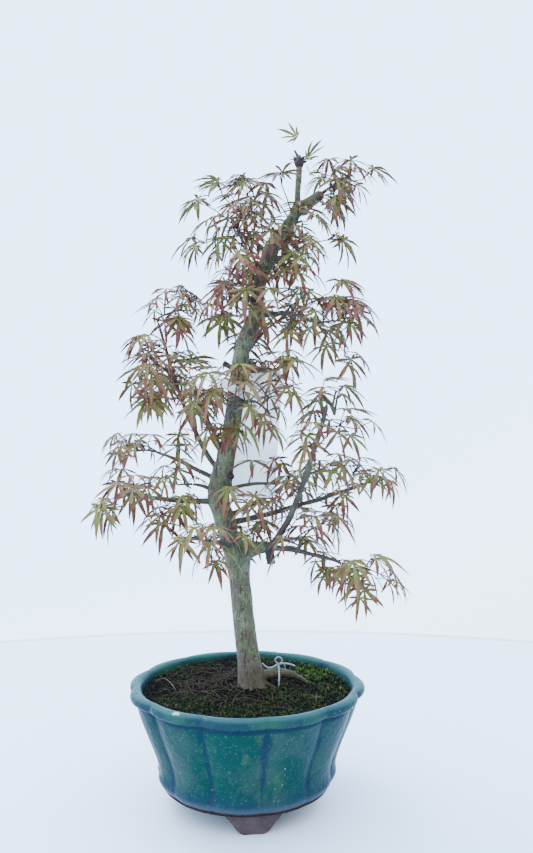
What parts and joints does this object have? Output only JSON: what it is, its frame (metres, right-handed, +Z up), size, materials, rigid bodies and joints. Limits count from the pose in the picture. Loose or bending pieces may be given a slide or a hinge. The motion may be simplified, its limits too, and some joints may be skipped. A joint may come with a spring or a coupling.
{
  "type": "potted japanese maple bonsai",
  "caption": "Upright Japanese maple bonsai with a curved trunk, spreading boughs and young leaves, in a round lobed glazed bowl on three clay feet, with a blank tag.",
  "frame": {"origin": "on the surface that the feet stand on, under the middle of the plant's bounding box and of the bowl", "axes": "+Z up the plant, -Y towards the plant's front, +X towards its right-hand side as seen from the front"},
  "size_m": [0.2699, 0.199, 0.5838],
  "materials": {
    "glaze": "variegated blue-green gloss glaze",
    "clay": "unglazed purple-brown stoneware",
    "soil": "damp granular soil with moss",
    "bark": "smooth grey-green living bark",
    "tag": "plain white",
    "leaf": "young olive-green leaves with bronze tips"
  },
  "bodies": {
    "root": {"pot": "glaze", "soil": "soil", "foot_front": "clay", "foot_right": "clay", "foot_left": "clay", "trunk": "bark", "bough_low_stub": "bark", "bough_right_rising": "bark", "bough_right_low": "bark", "bough_right_near": "bark", "bough_left_inner": "bark", "bough_right_long": "bark", "bough_right_inner": "bark", "bough_right_back": "bark", "bough_left_long": "bark", "bough_left_upper": "bark", "bough_left_tall": "bark", "bough_left_spur": "bark", "bough_centre_left": "bark", "bough_front": "bark", "bough_back": "bark", "bough_front_right": "bark", "bough_high_mid": "bark", "bough_right_spur": "bark", "bough_high_right": "bark", "bough_high_left": "bark", "bough_top_spur": "bark", "bough_top_left": "bark", "bough_front_low": "bark", "bough_back_low": "bark", "fork_right": "bark", "fork_up": "bark", "tag": "tag", "leaves_top_tip": "leaf", "leaves_top_right": "leaf", "leaves_top_left": "leaf", "leaves_top_front": "leaf", "leaves_top_spur": "leaf", "leaves_high_left": "leaf", "leaves_high_right": "leaf", "leaves_high_mid": "leaf", "leaves_right_spur": "leaf", "leaves_left_tip": "leaf", "leaves_left_spur": "leaf", "leaves_centre_left": "leaf", "leaves_front": "leaf", "leaves_front_right": "leaf", "leaves_right_upper": "leaf", "leaves_right_inner": "leaf", "leaves_right_back": "leaf", "leaves_right_end": "leaf", "leaves_left_upper": "leaf", "leaves_left_end": "leaf", "leaves_front_low": "leaf", "leaves_back_low": "leaf", "leaves_right_low": "leaf", "leaves_right_tail": "leaf", "leaves_left_inner": "leaf", "leaves_back": "leaf"}
  },
  "joints": []
}
